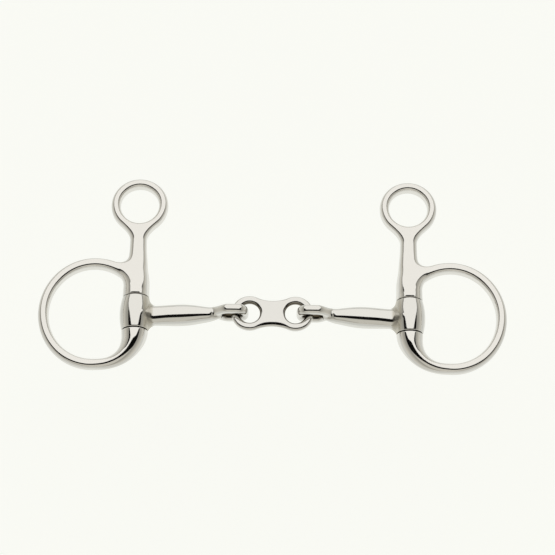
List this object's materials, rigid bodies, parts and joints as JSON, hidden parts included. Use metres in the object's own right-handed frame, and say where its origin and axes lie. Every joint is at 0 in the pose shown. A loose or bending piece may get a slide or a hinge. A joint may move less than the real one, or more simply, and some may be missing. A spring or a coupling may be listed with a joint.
{
  "type": "snaffle bit",
  "caption": "Hanging-cheek snaffle bit for a bridle: round eye and oval rein ring on each cheek, tapered jointed arms and a flat double-holed centre link.",
  "frame": {"origin": "centre of the French link, in the mid-plane of the flat-laid bit", "axes": "+X along the mouthpiece, +Y toward the hanging eyes, +Z out of the plane of the cheeks"},
  "size_m": [0.2632, 0.1157, 0.0178],
  "materials": {
    "left_cheek": "polished stainless steel",
    "right_cheek": "polished stainless steel",
    "left_spindle": "turned stainless steel pin",
    "right_spindle": "turned stainless steel pin",
    "left_cannon": "polished stainless steel",
    "right_cannon": "polished stainless steel",
    "french_link": "polished stainless steel"
  },
  "bodies": {
    "link": {"french_link": "french_link"},
    "left_arm": {"left_cannon": "left_cannon"},
    "right_arm": {"right_cannon": "right_cannon"},
    "left_side": {"left_cheek": "left_cheek", "left_spindle": "left_spindle"},
    "right_side": {"right_cheek": "right_cheek", "right_spindle": "right_spindle"}
  },
  "joints": [
    {"name": "left_fold", "type": "hinge", "parent": "link", "child": "left_arm", "pos_m": [-0.0208, 0, 0], "axis": [0, 1, 0], "range_deg": [-55, 55]},
    {"name": "right_fold", "type": "hinge", "parent": "link", "child": "right_arm", "pos_m": [0.0208, 0, 0], "axis": [0, 1, 0], "range_deg": [-55, 55]},
    {"name": "left_cheek_turn", "type": "hinge", "parent": "left_arm", "child": "left_side", "pos_m": [-0.077, -0.0015, 0], "axis": [0, 1, 0], "range_deg": [-90, 90]},
    {"name": "right_cheek_turn", "type": "hinge", "parent": "right_arm", "child": "right_side", "pos_m": [0.077, -0.0015, 0], "axis": [0, 1, 0], "range_deg": [-90, 90]}
  ]
}
